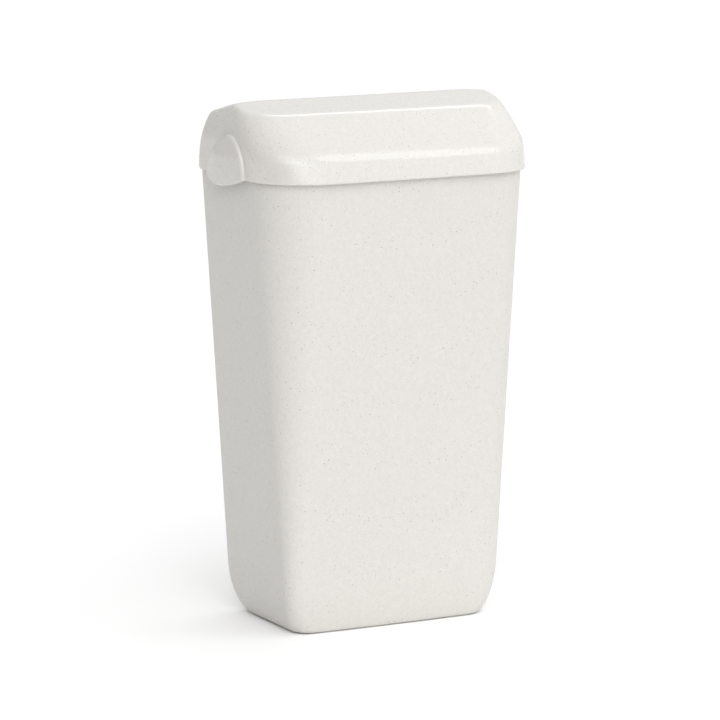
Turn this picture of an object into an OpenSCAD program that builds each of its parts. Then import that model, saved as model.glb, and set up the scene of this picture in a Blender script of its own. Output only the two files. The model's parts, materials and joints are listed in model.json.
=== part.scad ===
// Wall-hung or free-standing waste bin: a tapered tub with a flip hood.
// Millimetres. +Z up, the front faces -Y, the wall is the plane of the tub's back.
// Origin: middle of the footprint box, on the floor.

/* [Overall] */
// Width across the hood's skirt
hood_w = 335; // [279:1:402]
// From the back plane to the front edge of the hood's skirt
hood_reach = 196; // [164:1:236]
// Height of the hood's lower edge above the floor
skirt_h = 503; // [419:1:603]
// Height of the hood from its lower edge to its ridge
hood_rise = 79.6; // [72:0.2:95]

/* [Tub] */
// Wall thickness of the tub
tub_wall = 3; // [2.4:0.1:3.6]
// How far the hood stands out past the tub at each side
side_overhang = 5.8; // [4.8:0.1:7]
// How far the hood stands out past the tub at the front
front_overhang = 5.4; // [4.4:0.1:8]
// Inward slope of each side, per millimetre of depth
side_taper = 0.0655; // [0.03:0.0005:0.075]
// Inward slope of the front, per millimetre of depth
front_taper = 0.07; // [0.03:0.001:0.08]
// Radius of the front corners at the top
corner_top = 62.5; // [40:0.5:70]
// Radius of the front corners where the wall starts to draw in
corner_foot = 18; // [8:1:40]
// Radius of the front corners at the very bottom
corner_bottom = 20; // [10:1:40]
// Radius of the rear corners
rear_corner = 5.5; // [4:0.5:12]
// Radius of the rear corners at the very bottom
rear_bottom = 28; // [10:1:40]
// Height over which the wall draws in at the bottom
bottom_round = 56; // [40:1:72]
// How far the sides draw in at the bottom
side_inset = 15; // [8:1:26]
// How far the front draws in at the bottom
front_inset = 8; // [6:1:26]
// How far the back draws in at the bottom
rear_inset = 10; // [6:1:26]
// Height of the hidden rim above the hood's lower edge
rim_h = 6; // [4:0.5:9]
// Height of that rim near the back, where the open hood passes
rear_rim_h = 3; // [1.5:0.5:4]
// How far that rim is set in from the tub's outer face
rim_step = 1.4; // [0.6:0.1:1.6]

/* [Hood] */
// Wall thickness of the hood's top and front
hood_wall = 2.4; // [1.8:0.1:2.6]
// Wall thickness of the hood's sides
hood_side_wall = 2; // [1.6:0.1:2.2]
// Bow of the front between its corners
front_bow = 1.5; // [0:0.1:4]
// Gap between the back plane and the hood's rear edge
rear_gap = 8; // [6:0.5:14]
// How far the rear edge curves forward at its top
rear_sweep = 22; // [16:1:30]
// How far each side leans in at the height of the rear edge's top
side_lean = 7.2; // [4:0.1:7.4]
// Corner radius at the lower edge
corner_skirt = 68.5; // [45:0.5:76]
// Corner radius at the lower bend
corner_low_bend = 62; // [40:1:70]
// Corner radius at the upper bend
corner_high_bend = 31; // [16:1:40]

/* [Hinge] */
// Hinge axis, forward of the back plane
pivot_reach = 86; // [76:1:96]
// Hinge axis, above the hood's lower edge
pivot_rise = 11; // [9:0.5:13]
// Diameter of the pivot pins
pin_d = 8; // [6:0.1:9.6]
// Outer diameter of the hood's bushes
bush_d = 12; // [11:0.5:14]
// Radial clearance of a turning fit
run_fit = 0.05; // [0.02:0.01:0.1]
// Gap between pieces that pass each other
pass_gap = 0.4; // [0.3:0.1:0.8]
// How far a hinge cover stands out of the hood
cover_proud = 7.5; // [6:0.5:10]

/* [Bag ring] */
// Diameter of the ring's wire
wire_d = 5; // [4:0.5:6]
// Ring's wire centre, below the hood's lower edge
ring_drop = 9; // [8:0.5:14]

/* [Wall bracket] */
// Width of the bracket
bracket_w = 140; // [110:1:160]
// Height of the bracket
bracket_h = 56; // [50:1:70]
// Middle of the bracket, below the hood's lower edge
bracket_drop = 90; // [70:1:130]
// Spacing of the wall screws, across
screws_across = 100; // [70:1:110]
// Spacing of the wall screws, up
screws_up = 30; // [24:1:40]
// Diameter of the wall screw holes
screw_hole_d = 6.5; // [5:0.5:7]

/* [Feet] */
// Diameter of each rubber foot
foot_d = 16; // [12:1:20]
// How far a foot stands below the tub
foot_proud = 1; // [0.6:0.1:3]

/* [Hidden] */

overall_d = hood_reach + front_bow;
tub_h = skirt_h - foot_proud;
eps = 0.01;

// ---- sections shared by the tub and the hood ----
// A point given by its side offset and its reach forward of the back plane
function at(x, reach) = [x, overall_d / 2 - reach];
function arc_pts(cx, cq, r, a0, a1, n) =
    [for (i = [0:n]) let (a = a0 + (a1 - a0) * i / n) at(cx + r * cos(a), cq + r * sin(a))];
function bow_pts(half, reach, bow, n) =
    [for (i = [1:n - 1]) let (k = 2 * i / n - 1) at(k * half, reach + bow * (1 - k * k))];
// Plan outline: flat back, rounded rear and front corners, bowed front
function outline(hw, back, front, r_rear, r_front, bow) = concat(
    arc_pts(-hw + r_rear, back + r_rear, r_rear, 270, 180, 4),
    arc_pts(-hw + r_front, front - r_front, r_front, 180, 90, 12),
    bow_pts(hw - r_front, front, bow, 8),
    arc_pts(hw - r_front, front - r_front, r_front, 90, 0, 12),
    arc_pts(hw - r_rear, back + r_rear, r_rear, 0, -90, 4));
function lift(pts, z) = [for (p = pts) [p[0], p[1], z]];
function flatten(lists) = [for (l = lists) for (p = l) p];
module convex(pts) {
    hull() polyhedron(points = pts, faces = [[for (i = [0:len(pts) - 1]) i]]);
}

// ---- tub ----
// Depths are measured down from the hood's lower edge; t is the offset inward
function drawn(depth, t) = let (k = (depth - tub_h + bottom_round) / (bottom_round - t))
    k <= 0 ? 0 : 1 - sqrt(max(1 - k * k, 0));
function tub_ring(depth, t) = let (
    g = drawn(depth, t),
    down = min(depth / (tub_h - bottom_round), 1),
    r = corner_top + (corner_foot - corner_top) * down + (corner_bottom - corner_foot) * g,
    r_rear = rear_corner + (rear_bottom - rear_corner) * g)
    lift(outline(
        tub_half_w(depth) - (side_inset - t) * g - t,
        (rear_inset - t) * g + t,
        tub_front(depth) - (front_inset - t) * g - t,
        max(r_rear - t, 3), max(r - t, 4), front_bow),
        skirt_h - depth);
function tub_pts(top, t) = let (r = bottom_round - t, d = tub_h - bottom_round)
    flatten([tub_ring(top, t), tub_ring(d, t),
        for (i = [1:8]) tub_ring(d + r * sin(i * 90 / 8), t)]);
function tub_half_w(depth) = hood_w / 2 - side_overhang - side_taper * depth;
function tub_front(depth) = hood_reach - front_overhang - front_taper * depth;
shoulder = 1;
rear_rim_reach = 40;

// ---- hinge stack, measured out from the middle of the bin ----
hood_in_x = hood_w / 2 - hood_side_wall;
lug_out_x = tub_half_w(-rim_h) - rim_step;
lug_t = 5;
boss_in_x = lug_out_x - 8;
boss_d = pin_d + 16;
bush_in_x = lug_out_x + pass_gap;
bush_out_x = hood_w / 2 + 1;
head_in_x = bush_out_x + pass_gap;
head_t = 2;
head_d = bush_d + 2;
clip_t = 1.2;
groove_depth = 0.8;
pin_end_x = boss_in_x - clip_t - 1.4;
pivot_z = skirt_h + pivot_rise;
pivot_y = overall_d / 2 - pivot_reach;

// ---- bag ring ----
ring_z = skirt_h - ring_drop;
ring_half_w = pin_end_x - wire_d / 2 - 1.5;
ring_pivot_reach = tub_wall + wire_d / 2 + 7;
ring_front = tub_front(ring_drop) - tub_wall - wire_d / 2 - 7;
ring_bend = 34;
ring_lug_x = 70;
ring_lug_w = 12;
ledge_t = 2.5;

// ---- wall bracket ----
plate_t = 2.5;
pocket_depth = 8;
bracket_z = skirt_h - bracket_drop;
pocket_gap = 0.5;
lock_d = 5;
lock_hole_d = 5.5;

// ---- feet ----
foot_recess = 1.2;
foot_x = tub_half_w(tub_h) - side_inset - foot_d / 2 - 12;
foot_front = tub_front(tub_h) - front_inset - foot_d / 2 - 12;
foot_rear = rear_inset + foot_d / 2 + 12;

// Moves its children to a point given by side offset, reach and height
module place(x, reach, z) { translate([x, overall_d / 2 - reach, z]) children(); }
// A cylinder along X from x0 to x1 about the hinge axis
module on_pivot(x0, x1, d) {
    translate([x0, pivot_y, pivot_z]) rotate([0, 90, 0]) cylinder(h = x1 - x0, d = d, $fn = 64);
}
module block(x0, x1, q0, q1, z0, z1) {
    translate([x0, overall_d / 2 - q1, z0]) cube([x1 - x0, q1 - q0, z1 - z0]);
}
module mirrored() { children(); mirror([1, 0, 0]) children(); }

module tub_skin() {
    difference() {
        union() {
            convex(tub_pts(-shoulder, 0));
            convex(flatten([tub_ring(-rim_h, rim_step), tub_ring(0, rim_step)]));
        }
        convex(tub_pts(-rim_h - 1, tub_wall));
        // the rim drops near the back
        block(-hood_w / 2, hood_w / 2, -1, rear_rim_reach, skirt_h + rear_rim_h, skirt_h + rim_h + 1);
    }
}
module pivot_lug() {
    on_pivot(boss_in_x, lug_out_x, boss_d);
    block(lug_out_x - lug_t, lug_out_x, pivot_reach - boss_d / 2, pivot_reach + boss_d / 2,
        skirt_h - 14, pivot_z);
}
module ring_lug() {
    // a lug on the back wall that carries the ring's rear wire
    place(ring_lug_x - ring_lug_w / 2, ring_pivot_reach, ring_z) rotate([0, 90, 0])
        cylinder(h = ring_lug_w, d = wire_d + 7, $fn = 48);
    block(ring_lug_x - ring_lug_w / 2, ring_lug_x + ring_lug_w / 2, tub_wall - 1, ring_pivot_reach,
        ring_z - (wire_d + 7) / 2, ring_z + (wire_d + 7) / 2);
}
module ring_ledge() {
    // a ledge on the front wall that the ring's front wire rests on
    block(60, 84, ring_front - wire_d, tub_front(ring_drop) - tub_wall + 1.5,
        ring_z - wire_d / 2 - pass_gap - ledge_t, ring_z - wire_d / 2 - pass_gap);
}
module bracket_pocket(grow) {
    block(-bracket_w / 2 - pocket_gap - grow, bracket_w / 2 + pocket_gap + grow, -1, pocket_depth + grow,
        bracket_z - bracket_h / 2 - pocket_gap - grow, bracket_z + bracket_h / 2 + grow);
}
module tub() {
    color([0.9, 0.89, 0.87]) difference() {
        union() {
            tub_skin();
            mirrored() { pivot_lug(); ring_lug(); ring_ledge(); }
            intersection() {
                bracket_pocket(tub_wall);
                block(-hood_w / 2, hood_w / 2, 0, hood_reach, 0, skirt_h);
            }
        }
        bracket_pocket(0);
        mirrored() {
            on_pivot(boss_in_x - 1, lug_out_x + 1, pin_d);
            place(ring_lug_x - ring_lug_w, ring_pivot_reach, ring_z) rotate([0, 90, 0])
                cylinder(h = 2 * ring_lug_w, d = wire_d + 2 * run_fit, $fn = 48);
        }
        place(0, pocket_depth + tub_wall + 1, bracket_z) rotate([-90, 0, 0])
            cylinder(h = tub_wall + 2, d = lock_hole_d, $fn = 48);
        for (x = [-foot_x, foot_x], q = [foot_front, foot_rear])
            place(x, q, foot_proud - 1) cylinder(h = foot_recess + 1, d = foot_d, $fn = 48);
    }
}

// ---- hood ----
// Side profile, as [reach, height above the lower edge]
low_bend = [hood_reach - 11, 28.5];
high_bend = [hood_reach - 69, hood_rise - 11];
ridge = [73, hood_rise];
rear_top = [rear_gap + rear_sweep, hood_rise - 10];
lean_start = 24;
lean_r = (pow(rear_top[1] - lean_start, 2) + side_lean * side_lean) / (2 * side_lean);
function lean(h) = let (d = max(h - lean_start, 0)) lean_r - sqrt(lean_r * lean_r - d * d);
sweep_r = (rear_top[1] * rear_top[1] + rear_sweep * rear_sweep) / (2 * rear_sweep);
function rear_edge(h) = rear_gap + sweep_r - sqrt(sweep_r * sweep_r - h * h);
function corner_r(h) = lookup(h, [[0, corner_skirt], [low_bend[1], corner_low_bend],
    [high_bend[1], corner_high_bend], [hood_rise, corner_high_bend - 6]]);
// Inward normal offset of the corner between two straight stretches
function unit(v) = v / norm(v);
function inward(v) = [v[1], -v[0]];
function miter(a, b, c, t) = let (n0 = inward(unit(a - b)), n1 = inward(unit(b - c)))
    b + (n0 + n1) * t / (1 + n0 * n1);
function profile(t) = let (foot = [hood_reach, 0], n = inward(unit(foot - low_bend)))
    [foot + n * t + (low_bend - foot) * (-t / 10), miter(foot, low_bend, high_bend, t),
     miter(low_bend, high_bend, ridge, t), miter(high_bend, ridge, rear_top, t),
     rear_top + inward(unit(ridge - rear_top)) * t];
function front_at(h, t) = let (p = profile(t))
    lookup(h, [[p[0][1], p[0][0]], [p[1][1], p[1][0]], [p[2][1], p[2][0]], [p[3][1], p[3][0]]]);
function hood_half_w(h, t) = hood_w / 2 - lean(h) - min(t, hood_side_wall);
function hood_ring(h, t, back) = lift(outline(hood_half_w(h, t), back, front_at(h, t),
    0.5, max(corner_r(h) - t, 6), front_bow), skirt_h + h);
function top_back(h, t) = let (p = profile(t), a = p[4], b = p[3])
    a[0] + (b[0] - a[0]) * (h - a[1]) / (b[1] - a[1]);
steps = 9;
// The ridge falls by this much over the last stretch at each side
ridge_drop = 2.2;
ridge_fall = 30;
function ridge_pts(top, t) = [for (s = [-1, 1], e = [[ridge_fall, 0], [0, ridge_drop]])
    let (h = top[1] - e[1], a = at(s * (hood_half_w(h, t) - e[0]), top[0])) [a[0], a[1], skirt_h + h]];
module hood_outer() {
    convex(flatten(concat(
        [for (i = [0:steps]) let (h = rear_top[1] * i / steps) hood_ring(h, 0, rear_edge(h))],
        [hood_ring(low_bend[1], 0, rear_edge(low_bend[1])),
         hood_ring(high_bend[1], 0, rear_edge(high_bend[1])),
         ridge_pts(ridge, 0)])));
}
// The hollow runs out through the open rear and the open underside
module hood_inner() {
    t = hood_wall;
    p = profile(t);
    out = -12;
    out_h = p[4][1] + (p[3][1] - p[4][1]) * (out - p[4][0]) / (p[3][0] - p[4][0]);
    convex(flatten(concat(
        [for (i = [0:steps]) let (h = -2 + (out_h + 2) * i / steps) hood_ring(h, t, out)],
        [hood_ring(p[1][1], t, out),
         hood_ring(p[2][1], t, top_back(p[2][1], t)),
         hood_ring(p[4][1], t, p[4][0]),
         ridge_pts(p[3], t)])));
}
peg_d = 5;
peg_out = 26;
buffer_d = 7;
buffer_x = 55;
buffer_h = 4;
shelf_t = 2;
buffer_top = skirt_h + rim_h + pass_gap + buffer_h;
buffer_reach = front_at(buffer_top - skirt_h, hood_wall) - buffer_d / 2 - pass_gap;
module cover_pegs(d, x0, x1) {
    for (s = [-peg_out, peg_out])
        translate([x0, pivot_y + s, pivot_z - 3]) rotate([0, 90, 0]) cylinder(h = x1 - x0, d = d, $fn = 48);
}
module hood() {
    color([0.93, 0.92, 0.9]) difference() {
        union() {
            difference() { hood_outer(); hood_inner(); }
            // shelves that hold the two buffers
            mirrored() intersection() {
                block(buffer_x - 8, buffer_x + 8, buffer_reach - 6, hood_reach + 2,
                    buffer_top, buffer_top + shelf_t);
                hood_outer();
            }
        }
        mirrored() {
            on_pivot(hood_in_x - 3, hood_w / 2 + 3, bush_d);
            cover_pegs(peg_d, hood_in_x - 3, hood_w / 2 + 3);
        }
    }
}

// ---- hinge covers ----
cover_half_w = 42;
cover_top = 46.5;
cover_foot = 11.7;
cover_edge = 5.5;
crown = 0.5;
// Outline above and below the hood's lower edge, as [reach from the pivot, height]
function cover_upper(s) = [cover_half_w * pow(1 - pow(s, 1.8), 0.58), cover_top * s];
function cover_lower(s) = [cover_half_w * pow(1 - pow(s, 1.2), 0.72), -cover_foot * s];
cover_right = concat(
    [for (i = [12:-1:0]) cover_lower(sin(i * 7.5))],
    [for (i = [1:16]) cover_upper(sin(i * 5.625))]);
cover_outline = concat(cover_right,
    [for (i = [len(cover_right) - 2:-1:1]) [-cover_right[i][0], cover_right[i][1]]]);
cover_mid = 14;
// The outline drawn in by an inset towards its middle, at one distance out from the skirt
function cover_slice(inset, proud) = [for (p = cover_outline)
    let (v = [p[0], p[1] - cover_mid], q = v * (1 - inset / norm(v)))
    [hood_w / 2 + proud, pivot_y + q[0], skirt_h + cover_mid + q[1]]];
module cover_pad() {
    convex(flatten(concat(
        [cover_slice(0, -side_lean)],
        [for (i = [0:4]) let (a = i * 22.5)
            cover_slice(cover_edge * (1 - cos(a)), cover_proud - crown - cover_edge * (1 - sin(a)))],
        [cover_slice(cover_edge + 4, cover_proud - crown / 3), cover_slice(cover_edge + 9, cover_proud)])));
}
module hinge_cover() {
    color([0.93, 0.92, 0.9]) {
        difference() {
            cover_pad();
            hood_outer();
            // nothing behind the part that hangs below the skirt
            block(0, hood_w / 2 + 0.2, 0, hood_reach, skirt_h - 40, skirt_h + 1);
            // pocket over the pin's head
            on_pivot(hood_w / 2 - 1, head_in_x + head_t + 1, head_d + 4);
        }
        cover_pegs(peg_d, hood_in_x, hood_w / 2 + 1);
        cover_pegs(peg_d + 0.8, hood_in_x - 1, hood_in_x);
    }
}
module hinge_cover_left() { mirror([1, 0, 0]) hinge_cover(); }
module hinge_cover_right() { hinge_cover(); }

module pivot_pin() {
    color([0.75, 0.75, 0.76]) difference() {
        union() {
            on_pivot(pin_end_x, head_in_x + eps, pin_d);
            on_pivot(head_in_x, head_in_x + head_t, head_d);
        }
        difference() {
            on_pivot(boss_in_x - clip_t, boss_in_x, pin_d + 2);
            on_pivot(boss_in_x - clip_t - 1, boss_in_x + 1, pin_d - 2 * groove_depth);
        }
    }
}
module pivot_pin_left() { mirror([1, 0, 0]) pivot_pin(); }
module pivot_pin_right() { pivot_pin(); }

module pivot_bush() {
    color([0.2, 0.2, 0.21]) difference() {
        union() {
            on_pivot(bush_in_x, bush_out_x, bush_d);
            on_pivot(hood_in_x - 2, hood_in_x, bush_d + 6);
        }
        on_pivot(bush_in_x - 1, bush_out_x + 1, pin_d + 2 * run_fit);
    }
}
module pivot_bush_left() { mirror([1, 0, 0]) pivot_bush(); }
module pivot_bush_right() { pivot_bush(); }

module pin_clip() {
    color([0.6, 0.6, 0.62]) difference() {
        on_pivot(boss_in_x - clip_t, boss_in_x, pin_d + 7);
        on_pivot(boss_in_x - clip_t - 1, boss_in_x + 1, pin_d - 2 * groove_depth);
        // the mouth that slides over the groove
        block(boss_in_x - clip_t - 1, boss_in_x + 1, pivot_reach - 2.6, pivot_reach + 2.6,
            pivot_z - pin_d, pivot_z);
    }
}
module pin_clip_left() { mirror([1, 0, 0]) pin_clip(); }
module pin_clip_right() { pin_clip(); }

module hood_buffer() {
    color([0.25, 0.25, 0.26]) place(buffer_x, buffer_reach, buffer_top - buffer_h)
        cylinder(h = buffer_h, d = buffer_d, $fn = 48);
}
module hood_buffer_left() { mirror([1, 0, 0]) hood_buffer(); }
module hood_buffer_right() { hood_buffer(); }

// ---- bag ring: one closed wire, its rear run turning in the two lugs ----
module wire(x0, q0, x1, q1) {
    a = [x0, overall_d / 2 - q0, ring_z];
    b = [x1, overall_d / 2 - q1, ring_z];
    v = b - a;
    translate(a) rotate([0, 90, atan2(v[1], v[0])]) cylinder(h = norm(v), d = wire_d, $fn = 32);
}
module wire_bend(x, q, start, r) {
    place(x, q, ring_z) rotate([0, 0, start]) rotate_extrude(angle = 90, $fn = 64)
        translate([r, 0]) circle(d = wire_d, $fn = 32);
}
rear_bend = 14;
module bag_ring() {
    w = ring_half_w;
    color([0.72, 0.72, 0.74]) union() {
        wire(-w + rear_bend, ring_pivot_reach, w - rear_bend, ring_pivot_reach);
        wire(-w + ring_bend, ring_front, w - ring_bend, ring_front);
        mirrored() {
            wire(w, ring_pivot_reach + rear_bend, w, ring_front - ring_bend);
            wire_bend(w - rear_bend, ring_pivot_reach + rear_bend, 0, rear_bend);
            wire_bend(w - ring_bend, ring_front - ring_bend, -90, ring_bend);
        }
    }
}

// ---- wall bracket ----
module bracket_band(depth, z0, z1) {
    block(-bracket_w / 2, bracket_w / 2, 0, depth, bracket_z + z0, bracket_z + z1);
}
module wall_bracket() {
    color([0.62, 0.63, 0.65]) difference() {
        union() {
            bracket_band(plate_t, -bracket_h / 2, bracket_h / 2);
            bracket_band(pocket_depth, -bracket_h / 2, -bracket_h / 2 + plate_t);
            bracket_band(pocket_depth, bracket_h / 2 - plate_t, bracket_h / 2);
        }
        for (x = [-screws_across / 2, screws_across / 2], z = [-screws_up / 2, screws_up / 2])
            place(x, plate_t + 1, bracket_z + z) rotate([-90, 0, 0])
                cylinder(h = plate_t + 2, d = screw_hole_d, $fn = 48);
        place(0, plate_t + 1, bracket_z) rotate([-90, 0, 0]) cylinder(h = plate_t + 2, d = 7, $fn = 48);
    }
}
nut_flange_t = 1;
module lock_nut() {
    color([0.7, 0.66, 0.45]) difference() {
        union() {
            place(0, plate_t + nut_flange_t, bracket_z) rotate([-90, 0, 0])
                cylinder(h = nut_flange_t, d = 11, $fn = 48);
            place(0, plate_t + nut_flange_t, bracket_z) rotate([-90, 0, 0])
                cylinder(h = plate_t + nut_flange_t - 0.4, d = 7, $fn = 48);
        }
        place(0, plate_t + nut_flange_t + 1, bracket_z) rotate([-90, 0, 0])
            cylinder(h = 8, d = lock_d, $fn = 48);
    }
}
washer_t = 1;
inner_face = pocket_depth + tub_wall;
module lock_washer() {
    color([0.7, 0.7, 0.72]) difference() {
        place(0, inner_face + washer_t, bracket_z) rotate([-90, 0, 0])
            cylinder(h = washer_t, d = 12, $fn = 48);
        place(0, inner_face + washer_t + 1, bracket_z) rotate([-90, 0, 0])
            cylinder(h = washer_t + 2, d = lock_hole_d, $fn = 48);
    }
}
screw_head_t = 3;
module lock_screw() {
    color([0.7, 0.7, 0.72]) difference() {
        union() {
            place(0, inner_face + washer_t + screw_head_t, bracket_z) rotate([-90, 0, 0])
                cylinder(h = screw_head_t, d = 9, $fn = 48);
            place(0, inner_face + washer_t + 1, bracket_z) rotate([-90, 0, 0])
                cylinder(h = inner_face + washer_t + 1 - 0.6, d = lock_d, $fn = 48);
        }
        // hexagon socket
        place(0, inner_face + washer_t + screw_head_t + 1, bracket_z) rotate([-90, 0, 0])
            cylinder(h = 3, d = 4.6, $fn = 6);
    }
}

module foot(x, q) {
    color([0.2, 0.2, 0.2]) place(x, q, 0) cylinder(h = foot_proud + foot_recess, d = foot_d, $fn = 48);
}
module foot_front_left() { foot(-foot_x, foot_front); }
module foot_front_right() { foot(foot_x, foot_front); }
module foot_rear_left() { foot(-foot_x, foot_rear); }
module foot_rear_right() { foot(foot_x, foot_rear); }

tub();
hood();
hinge_cover_left();
hinge_cover_right();
pivot_pin_left();
pivot_pin_right();
pivot_bush_left();
pivot_bush_right();
pin_clip_left();
pin_clip_right();
hood_buffer_left();
hood_buffer_right();
bag_ring();
wall_bracket();
lock_nut();
lock_washer();
lock_screw();
foot_front_left();
foot_front_right();
foot_rear_left();
foot_rear_right();
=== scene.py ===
import json
import math

import bmesh
import bpy
import numpy as np
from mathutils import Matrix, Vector


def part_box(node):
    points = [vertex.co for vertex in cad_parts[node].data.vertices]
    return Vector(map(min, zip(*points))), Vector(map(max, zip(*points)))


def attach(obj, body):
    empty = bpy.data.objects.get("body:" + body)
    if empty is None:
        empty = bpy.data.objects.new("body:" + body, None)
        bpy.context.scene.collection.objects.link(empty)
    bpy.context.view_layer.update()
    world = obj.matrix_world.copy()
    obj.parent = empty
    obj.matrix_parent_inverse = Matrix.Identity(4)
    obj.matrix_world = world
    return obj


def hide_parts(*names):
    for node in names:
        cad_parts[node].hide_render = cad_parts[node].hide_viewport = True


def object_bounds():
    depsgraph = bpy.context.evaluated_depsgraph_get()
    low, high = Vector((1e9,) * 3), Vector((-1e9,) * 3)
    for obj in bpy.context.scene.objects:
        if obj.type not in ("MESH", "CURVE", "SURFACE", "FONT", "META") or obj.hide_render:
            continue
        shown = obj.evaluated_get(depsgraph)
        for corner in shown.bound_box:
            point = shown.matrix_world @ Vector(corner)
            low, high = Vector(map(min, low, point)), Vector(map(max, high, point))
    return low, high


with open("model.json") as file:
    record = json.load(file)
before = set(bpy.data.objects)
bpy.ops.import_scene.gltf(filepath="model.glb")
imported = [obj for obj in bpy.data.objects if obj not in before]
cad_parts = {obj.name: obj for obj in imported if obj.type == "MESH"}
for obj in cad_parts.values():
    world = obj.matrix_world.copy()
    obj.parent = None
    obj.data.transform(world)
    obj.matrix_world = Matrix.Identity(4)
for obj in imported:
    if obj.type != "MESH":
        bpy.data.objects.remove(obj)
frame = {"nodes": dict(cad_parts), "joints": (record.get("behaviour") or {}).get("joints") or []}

bl_info = {
    "name": "Flip Hood Waste Bin",
    "version": (1, 0, 0),
    "blender": (4, 5, 0),
    "location": "View3D > Sidebar > Waste Bin",
    "description": "Finished shells, fittings and studio for a tapered waste bin with a flip hood",
    "category": "Add Mesh",
}

MM = 0.001
CAD_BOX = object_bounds()
TUB_LO, TUB_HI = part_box("tub")
HOOD_LO, HOOD_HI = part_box("hood")
RING_LO, RING_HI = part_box("bag_ring")
BRACKET_LO, BRACKET_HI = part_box("wall_bracket")
PIN_HEAD_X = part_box("pivot_pin_right")[1].x
BUSH_INNER_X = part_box("pivot_bush_right")[0].x
BUFFER_LO, BUFFER_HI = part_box("hood_buffer_right")
WASHER_LO, WASHER_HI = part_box("lock_washer")
COVER_LO, COVER_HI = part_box("hinge_cover_right")
JOINTS = {joint["name"]: Vector(joint["pos_m"]) for joint in frame["joints"]}

# Depths are measured forward from the back plane, and called reach
BACK_Y = TUB_HI.y
SKIRT_Z = HOOD_LO.z
HOOD_HALF = HOOD_HI.x
HOOD_RISE = HOOD_HI.z - SKIRT_Z
HOOD_REACH = BACK_Y - HOOD_LO.y
PIVOT_Z = JOINTS["hood_hinge"].z
PIVOT_REACH = BACK_Y - JOINTS["hood_hinge"].y
FLOOR_GAP = TUB_LO.z


# ---- properties ----
def length(name, description, default):
    """A size that a user may change"""
    return bpy.props.FloatProperty(
        name=name, description=description, default=default, min=0, subtype="DISTANCE", unit="LENGTH")


def share(name, description, default):
    """A strength between 0 and 1"""
    return bpy.props.FloatProperty(
        name=name, description=description, default=default, min=0, max=1, subtype="FACTOR")


def ratio(name, description, default):
    """A plain number, such as a slope or a brightness"""
    return bpy.props.FloatProperty(name=name, description=description, default=default)


def angle(name, description, degrees):
    """An angle, given in degrees"""
    return bpy.props.FloatProperty(
        name=name, description=description, default=math.radians(degrees),
        subtype="ANGLE", unit="ROTATION")


def colour(name, description, default):
    """A colour, as linear red, green and blue"""
    return bpy.props.FloatVectorProperty(
        name=name, description=description, default=default, size=3, min=0, max=1, subtype="COLOR")


class TubShape(bpy.types.PropertyGroup):
    """Sizes of the tub"""
    wall: length("Wall", "Wall thickness", 3 * MM)
    side_taper: ratio("Side taper", "Inward slope of each side", 0.0655)
    front_taper: ratio("Front taper", "Inward slope of the front", 0.07)
    bow: length("Bow", "Bow of the front between its corners", 1.5 * MM)
    corner_top: length("Top corner", "Radius of the front corners at the top", 62.5 * MM)
    corner_foot: length("Foot corner", "Radius of the front corners where the wall draws in", 18 * MM)
    corner_bottom: length("Bottom corner", "Radius of the front corners at the very bottom", 20 * MM)
    rear_corner: length("Rear corner", "Radius of the rear corners", 5.5 * MM)
    rear_bottom: length("Rear bottom corner", "Radius of the rear corners at the very bottom", 28 * MM)
    bottom_round: length("Bottom round", "Height over which the wall draws in at the bottom", 56 * MM)
    side_inset: length("Side inset", "How far the sides draw in at the bottom", 15 * MM)
    front_inset: length("Front inset", "How far the front draws in at the bottom", 8 * MM)
    rear_inset: length("Rear inset", "How far the back draws in at the bottom", 10 * MM)
    shoulder: length("Shoulder", "Height of the shoulder above the hood's lower edge", 1 * MM)
    shoulder_round: length("Shoulder round", "Radius of the shoulder's edge", 0.6 * MM)
    rim_step: length("Rim step", "How far the rim is set in from the outer face", 1.4 * MM)
    rear_rim: length("Rear rim", "Height of the rim near the back", 3 * MM)
    rear_rim_reach: length("Rear rim reach", "Where the rim drops, from the back plane", 40 * MM)
    lug_width: length("Lug width", "Width of the two lugs that carry the pivots", 24 * MM)
    lug_wall: length("Lug wall", "Thickness of a pivot lug", 5 * MM)
    boss_length: length("Boss length", "Length of the boss behind a pivot lug", 8 * MM)
    pocket_depth: length("Pocket depth", "Depth of the pocket for the wall bracket", 8 * MM)
    pocket_gap: length("Pocket gap", "Gap between the bracket and its pocket", 0.5 * MM)


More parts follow.
